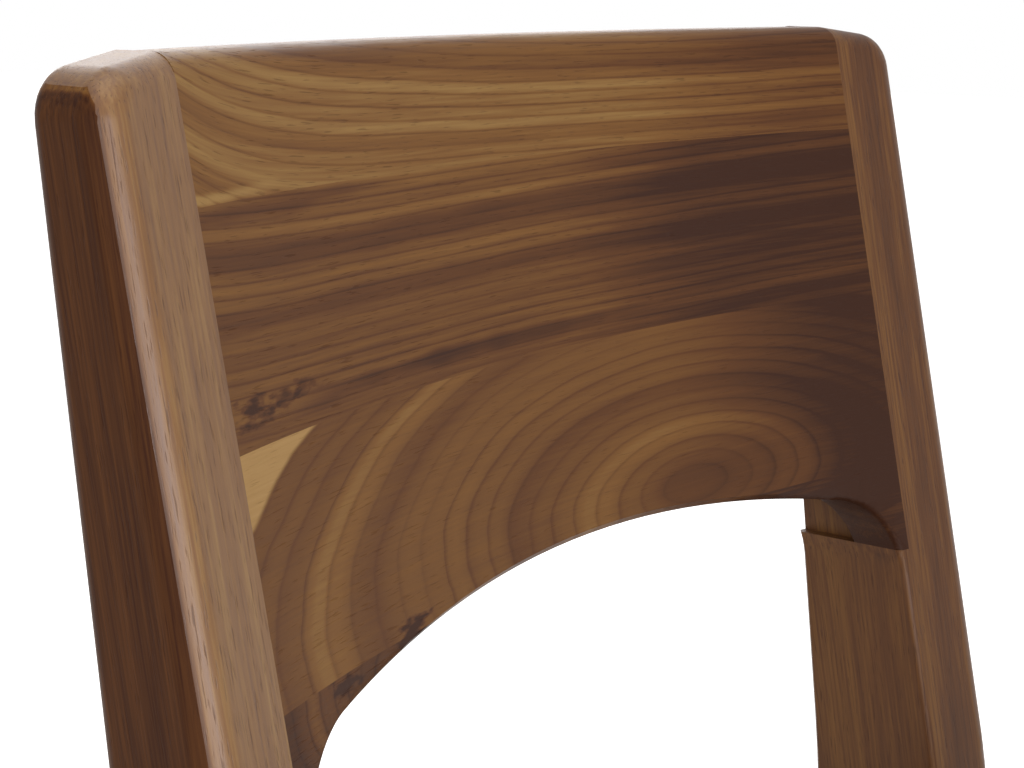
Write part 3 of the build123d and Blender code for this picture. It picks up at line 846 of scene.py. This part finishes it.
def pad_start(seat):
    """Pad with its skin just inside the cover, from the underside of the board to the crown."""
    mesh = NODES["seat_foam"].data.copy()
    work = bmesh.new()
    work.from_mesh(mesh)
    bmesh.ops.remove_doubles(work, verts=work.verts, dist=WELD_REACH)
    for point in work.verts:
        if point.co.z < FOAM_LOW.z + 0.001:
            point.co.z = COVER_LOW.z + 0.0003
    bmesh.ops.recalc_face_normals(work, faces=work.faces)
    work.to_mesh(mesh)
    work.free()
    item = linked("seat_cushion", mesh)
    mesh.materials.clear()
    remesh = item.modifiers.new("voxels", "REMESH")
    remesh.mode = "VOXEL"
    remesh.voxel_size = seat.voxel
    skin = item.modifiers.new("skin", "DISPLACE")
    skin.mid_level = 0
    skin.strength = COVER_HIGH.x - FOAM_HIGH.x + SKIN_SPARE
    mesh = applied(item)
    back_edge = max(
        point.co.y for point in NODES["seat_board"].data.vertices if point.co.x > BOARD_HIGH.x - 0.001
    )
    for point in mesh.vertices:
        short = max(BOARD_HIGH.x - abs(point.co.x), abs(back_edge - point.co.y))
        if short < NOTCH_REACH and point.co.z < BOARD_HIGH.z + 0.004:
            push = NOTCH_PUSH * (1 - max(short, 0) / NOTCH_REACH)
            point.co += Vector((math.copysign(push, point.co.x), push, 0))
    for point in mesh.vertices:
        point.co.z = max(point.co.z, COVER_LOW.z + 0.0002)
    crown = [point.index for point in mesh.vertices if point.co.z > BOARD_HIGH.z + CROWN_START]
    eased(item, crown, CROWN_ROUNDS)
    return item


def blow_up(item, seat):
    """Cloth simulation of the cover under the push of the foam, with the edge at the board held."""
    start = [point.co.copy() for point in item.data.vertices]
    held = item.vertex_groups.new(name="held")
    low = BOARD_HIGH.z
    high = low + HELD_HEIGHT
    for point in item.data.vertices:
        share = min(1.0, max(0.0, (high - point.co.z) / (high - low)))
        held.add([point.index], share, "REPLACE")
    cloth = item.modifiers.new("cloth", "CLOTH")
    rules = cloth.settings
    rules.quality = 5
    rules.mass = 0.3
    rules.tension_stiffness = 12
    rules.compression_stiffness = 12
    rules.shear_stiffness = 6
    rules.bending_stiffness = 0.6
    rules.use_pressure = True
    rules.uniform_pressure_force = seat.pressure
    rules.vertex_group_mass = "held"
    rules.effector_weights.gravity = 0
    cloth.collision_settings.use_collision = False
    cloth.point_cache.frame_start = 1
    cloth.point_cache.frame_end = seat.frames
    scene = bpy.context.scene
    for step in range(1, seat.frames + 1):
        scene.frame_set(step)
    mesh = applied(item)
    scene.frame_set(1)
    item.vertex_groups.clear()
    moves = [point.co - before for point, before in zip(mesh.vertices, start)]
    rise = min(1, seat.dome / max(move.z for move in moves))
    bulge = min(1, seat.bulge / max(move.to_2d().length for move in moves))
    for point, before, move in zip(mesh.vertices, start, moves):
        point.co = before + Vector((move.x * bulge, move.y * bulge, move.z * rise))
    mesh.update()
    top = [point.index for point in mesh.vertices if point.normal.z > TOP_FACING]
    eased(item, top, TOP_ROUNDS, height_only=True)


def open_underneath(item, seat):
    """Cuts the underside away inside the cloth that is turned under the board."""
    tongue = POST_LOW.x
    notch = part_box("right_side_rail")[1].y
    work = bmesh.new()
    work.from_mesh(item.data)
    inner = []
    for face in work.faces:
        middle = face.calc_center_median()
        under = face.normal.z < -0.8 and middle.z < BOARD_LOW.z
        inside = abs(middle.x) < COVER_HIGH.x - seat.turned_under
        inside = inside and COVER_LOW.y + seat.turned_under < middle.y < COVER_HIGH.y - seat.turned_under
        at_notch = abs(middle.x) > tongue - seat.turned_under and middle.y > notch - seat.turned_under
        if under and inside and not at_notch:
            inner.append(face)
    bmesh.ops.delete(work, geom=inner, context="FACES")
    work.to_mesh(item.data)
    work.free()
    shell = item.modifiers.new("shell", "SOLIDIFY")
    shell.thickness = seat.thickness
    shell.offset = -1
    applied(item)


def smooth(mesh):
    """Shades every face smoothly."""
    mesh.polygons.foreach_set("use_smooth", [True] * len(mesh.polygons))


class CHAIR_OT_pad_seat(bpy.types.Operator):
    """Pull the woven cover over the pad and turn it under the board"""

    bl_idname = "chair.pad_seat"
    bl_label = "Pad Seat"

    def execute(self, context):
        seat = context.scene.chair_seat
        cushion = pad_start(seat)
        blow_up(cushion, seat)
        open_underneath(cushion, seat)
        smooth(cushion.data)
        cushion.data.materials.append(cloth_material())
        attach(cushion, BODY)
        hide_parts("seat_foam", "seat_cover")
        return {"FINISHED"}


class CHAIR_OT_fold_corners(bpy.types.Operator):
    """Fold the cover's spare cloth into a pleat at each front corner"""

    bl_idname = "chair.fold_corners"
    bl_label = "Fold Corners"

    def execute(self, context):
        cushion = context.scene.objects.get("seat_cushion")
        if cushion is None:
            raise RuntimeError("pad the seat first")
        tree = BVHTree.FromObject(cushion, context.evaluated_depsgraph_get())
        material = cushion.data.materials[0]
        for hand, name in ((-1, "left_corner_pleat"), (1, "right_corner_pleat")):
            centre = Vector((hand * (COVER_HIGH.x - PLEAT_INSET), COVER_LOW.y + PLEAT_INSET, 0))
            work = bmesh.new()
            grid = []
            for row in range(PLEAT_ROWS + 1):
                rise = row / PLEAT_ROWS
                level = COVER_LOW.z + PLEAT_FOOT + rise * PLEAT_HEIGHT
                spread_angle = math.radians(13 - 7 * rise)
                line = []
                for column in range(PLEAT_COLUMNS + 1):
                    share = column / PLEAT_COLUMNS
                    turn = math.radians(-45) + hand * (share - 0.15) * spread_angle
                    out = Vector((hand * math.cos(turn), math.sin(turn), 0))
                    hit = tree.ray_cast(centre + out * 0.1 + Vector((0, 0, level)), -out)[0]
                    lift = 0.0004 + 0.0011 * (1 - share) * (1 - 0.7 * rise)
                    line.append(work.verts.new(hit + out * lift))
                grid.append(line)
            for lower, upper in zip(grid, grid[1:]):
                for here in range(PLEAT_COLUMNS):
                    corners = (lower[here], lower[here + 1], upper[here + 1], upper[here])
                    work.faces.new(corners if hand > 0 else reversed(corners))
            bmesh.ops.recalc_face_normals(work, faces=work.faces)
            mesh = bpy.data.meshes.new(name)
            work.to_mesh(mesh)
            work.free()
            pleat = linked(name, mesh)
            shell = pleat.modifiers.new("shell", "SOLIDIFY")
            shell.thickness = PLEAT_CLOTH
            shell.offset = 0
            applied(pleat)
            smooth(pleat.data)
            pleat.data.materials.append(material)
            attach(pleat, BODY)
        return {"FINISHED"}


class CHAIR_OT_stretch_dust_cover(bpy.types.Operator):
    """Stretch the dust cloth under the seat, sagging a little between its staples"""

    bl_idname = "chair.stretch_dust_cover"
    bl_label = "Stretch Dust Cover"

    def execute(self, context):
        seat = context.scene.chair_seat
        width = DUST_HIGH.x - DUST_LOW.x
        depth = DUST_HIGH.y - DUST_LOW.y
        mesh = bpy.data.meshes.new("dust_cloth_sheet")
        work = bmesh.new()
        bmesh.ops.create_grid(work, x_segments=DUST_STEPS, y_segments=DUST_STEPS, size=0.5)
        middle = (DUST_LOW + DUST_HIGH) / 2
        for point in work.verts:
            share_x = 1 - (2 * point.co.x) ** 2
            share_y = 1 - (2 * point.co.y) ** 2
            ripple = math.sin(11 * math.pi * point.co.x) * math.sin(13 * math.pi * point.co.y)
            sag = DUST_SAG * math.sqrt(share_x * share_y) + DUST_RIPPLE * ripple * share_x * share_y
            across = middle.x + point.co.x * width
            along = middle.y + point.co.y * depth
            point.co = Vector((across, along, DUST_LOW.z - sag))
        bolts = bolt_places()
        holes = [
            face
            for face in work.faces
            if any((face.calc_center_median() - bolt).to_2d().length < BOLT_CLEARANCE for bolt in bolts)
        ]
        bmesh.ops.delete(work, geom=holes, context="FACES")
        work.to_mesh(mesh)
        work.free()
        sheet = linked("dust_cloth_sheet", mesh)
        smooth(mesh)
        material, tree, shader = new_material("dust_cloth")
        x, y, z = object_axes(tree)
        mat = noise(tree, combined(tree, x, y, z), 900.0, 4.0)
        tint = mixed(tree, spread(tree, mat, 0.35, 0.7), seat.dust_cloth, linear("34312f"))
        tree.links.new(tint, shader.inputs["Base Color"])
        roughen(tree, shader, mat, 0.5, 0.0003)
        shader.inputs["Roughness"].default_value = 0.95
        mesh.materials.append(material)
        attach(sheet, BODY)
        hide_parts("seat_dust_cover")
        return {"FINISHED"}


def bolt_places():
    """Middle of each bolt that comes up through a corner block."""
    mesh = NODES["seat_bolts"].data
    low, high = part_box("seat_bolts")
    places = []
    for x in (low.x, high.x):
        for y in (low.y, high.y):
            corner = Vector((x, y, 0))
            near = [point.co for point in mesh.vertices if (point.co - corner).to_2d().length < 0.02]
            places.append(sum(near, Vector()) / len(near))
    return places


class CHAIR_OT_finish_fittings(bpy.types.Operator):
    """Plate the screws, bolts, nuts and staples, and mould the glides"""

    bl_idname = "chair.finish_fittings"
    bl_label = "Finish Fittings"

    def execute(self, context):
        fittings = context.scene.chair_fittings
        steel, tree, shader = new_material("zinc_plate")
        x, y, z = object_axes(tree)
        place = combined(tree, x, y, z)
        cloud = noise(tree, place, 260.0, 3.0)
        tint = mixed(tree, spread(tree, cloud, 0.3, 0.75), fittings.steel, linear("8f9296"))
        tree.links.new(tint, shader.inputs["Base Color"])
        tree.links.new(spread(tree, cloud, 0.2, 0.8, 0.25, 0.45), shader.inputs["Roughness"])
        shader.inputs["Metallic"].default_value = 1.0
        for node in (
            "corner_block_screws",
            "glide_nails",
            "dust_cover_staples",
            "seat_tee_nuts",
            "seat_bolts",
            "seat_washers",
        ):
            paint(node, steel)
        plastic, tree, shader = new_material("glide_plastic")
        x, y, z = object_axes(tree)
        grain = noise(tree, combined(tree, x, y, z), 1500.0, 2.0)
        tint = mixed(tree, spread(tree, grain, 0.3, 0.7), fittings.plastic, linear("3b3733"))
        tree.links.new(tint, shader.inputs["Base Color"])
        tree.links.new(spread(tree, grain, 0.2, 0.8, 0.45, 0.6), shader.inputs["Roughness"])
        roughen(tree, shader, grain, 0.3, 0.0002)
        paint("leg_glides", plastic)
        return {"FINISHED"}


# Stage
def add_light(name, place, target, watts, size, tint):
    """Soft square light turned towards a target."""
    light = bpy.data.lights.new(name, "AREA")
    light.energy = watts
    light.shape = "RECTANGLE"
    light.size = size
    light.size_y = size
    light.color = tint
    item = linked(name, light)
    item.location = place
    item.rotation_euler = (Vector(target) - Vector(place)).to_track_quat("-Z", "Y").to_euler()


def seen_rays(tree):
    """1 where a camera, a mirror-like surface or glass looks straight at the background."""
    rays = tree.nodes.new("ShaderNodeLightPath").outputs
    seen = number(tree, "MAXIMUM", rays["Is Camera Ray"], rays["Is Glossy Ray"])
    return number(tree, "MAXIMUM", seen, rays["Is Transmission Ray"])


class CHAIR_OT_set_stage(bpy.types.Operator):
    """Lay the pale floor, and place the lights and the camera"""

    bl_idname = "chair.set_stage"
    bl_label = "Set Stage"

    def execute(self, context):
        scene = context.scene
        stage = scene.chair_stage
        scene.view_settings.view_transform = "Standard"

        floor_mesh = bpy.data.meshes.new("floor")
        work = bmesh.new()
        bmesh.ops.create_grid(work, x_segments=1, y_segments=1, size=12)
        work.to_mesh(floor_mesh)
        work.free()
        floor = linked("floor", floor_mesh)
        floor.location.z = CAD_BOX[0][2] - 0.0002
        material, tree, shader = new_material("pale_floor")
        x, y, z = object_axes(tree)
        mottle = noise(tree, combined(tree, x, y, z), 3.0, 2.0)
        tint = mixed(tree, number(tree, "MULTIPLY", mottle, 0.3), stage.floor, linear("e6e5e3"))
        tree.links.new(tint, shader.inputs["Base Color"])
        shader.inputs["Roughness"].default_value = 0.9
        shader.inputs["Specular IOR Level"].default_value = 0.1
        shader.inputs["Emission Color"].default_value = (1, 1, 1, 1)
        away = vector(tree, "LENGTH", combined(tree, x, y, 0.0))
        near = spread(tree, away, 0.5, 1.3, 0.3, 0.68)
        far = spread(tree, away, 1.3, 4.0, 0.0, 0.32)
        whiteness = number(tree, "ADD", near, far)
        glow = number(tree, "MULTIPLY", seen_rays(tree), whiteness)
        tree.links.new(glow, shader.inputs["Emission Strength"])
        clear = add_node(tree, "ShaderNodeBsdfTransparent").outputs[0]
        below = tree.nodes.new("ShaderNodeNewGeometry").outputs["Backfacing"]
        seen = add_node(tree, "ShaderNodeMixShader", {0: below, 1: shader.outputs[0], 2: clear})
        tree.links.new(seen.outputs[0], tree.nodes["Material Output"].inputs["Surface"])
        floor_mesh.materials.append(material)

        world = bpy.data.worlds.new("studio")
        scene.world = world
        world.use_nodes = True
        tree = world.node_tree
        background = tree.nodes["Background"]
        background.inputs["Color"].default_value = (1, 1, 1, 1)
        strength = spread(tree, seen_rays(tree), 0, 1, stage.ambient, 1.0)
        tree.links.new(strength, background.inputs["Strength"])

        middle = Vector((0, END_FRONT, TOP_LEVEL - 0.1))
        lights = {
            "key": ((-0.75, -1.7, 0), stage.key_power, 1.2, (0.82, 0.9, 1)),
            "overhead": ((-0.2, -0.3, 1.7), stage.top_power, 1.8, (1, 1, 1)),
            "rear": ((1.5, 1.6, 0.7), stage.rear_power, 1.6, (1, 1, 1)),
            "window": ((-1.7, -0.2, 0.3), stage.window_power, 1.4, (1, 1, 1)),
        }
        for name, (offset, watts, size, tint) in lights.items():
            add_light(name, middle + Vector(offset), middle, watts, size, tint)

        forward = Vector(
            (
                math.sin(stage.yaw) * math.cos(stage.pitch),
                math.cos(stage.yaw) * math.cos(stage.pitch),
                -math.sin(stage.pitch),
            )
        )
        level = Vector((math.cos(stage.yaw), -math.sin(stage.yaw), 0))
        upward = level.cross(forward)
        right = level * math.cos(stage.roll) + upward * math.sin(stage.roll)
        upright = upward * math.cos(stage.roll) - level * math.sin(stage.roll)
        camera = bpy.data.cameras.new("photo_view")
        camera.sensor_width = 36
        camera.lens = stage.lens
        camera.clip_start = 0.01
        item = linked("photo_view", camera)
        axes = Matrix((right, upright, -forward)).transposed().to_4x4()
        item.matrix_world = Matrix.Translation(stage.camera_place) @ axes
        scene.camera = item
        return {"FINISHED"}


OPERATORS = (
    CHAIR_OT_finish_back,
    CHAIR_OT_finish_legs,
    CHAIR_OT_finish_frame,
    CHAIR_OT_pad_seat,
    CHAIR_OT_fold_corners,
    CHAIR_OT_stretch_dust_cover,
    CHAIR_OT_finish_fittings,
    CHAIR_OT_set_stage,
)
SETTINGS = {
    "chair_wood": ChairWood,
    "chair_seat": ChairSeat,
    "chair_fittings": ChairFittings,
    "chair_stage": ChairStage,
}


class CHAIR_PT_sidebar(bpy.types.Panel):
    """Settings and steps of the chair"""

    bl_idname = "CHAIR_PT_sidebar"
    bl_label = "Dining Chair"
    bl_space_type = "VIEW_3D"
    bl_region_type = "UI"
    bl_category = "Chair"

    def draw(self, context):
        for name, group in SETTINGS.items():
            box = self.layout.box()
            for setting in group.__annotations__:
                box.prop(getattr(context.scene, name), setting)
        for operator in OPERATORS:
            self.layout.operator(operator.bl_idname)


def register():
    for group in SETTINGS.values():
        bpy.utils.register_class(group)
    for name, group in SETTINGS.items():
        setattr(bpy.types.Scene, name, PointerProperty(type=group))
    for item in (*OPERATORS, CHAIR_PT_sidebar):
        bpy.utils.register_class(item)


def unregister():
    for item in (CHAIR_PT_sidebar, *reversed(OPERATORS)):
        bpy.utils.unregister_class(item)
    for name, group in SETTINGS.items():
        delattr(bpy.types.Scene, name)
        bpy.utils.unregister_class(group)


def main():
    register()
    bpy.ops.chair.finish_back()
    bpy.ops.chair.finish_legs()
    bpy.ops.chair.finish_frame()
    bpy.ops.chair.pad_seat()
    bpy.ops.chair.fold_corners()
    bpy.ops.chair.stretch_dust_cover()
    bpy.ops.chair.finish_fittings()
    bpy.ops.chair.set_stage()


if __name__ == "__main__":
    main()
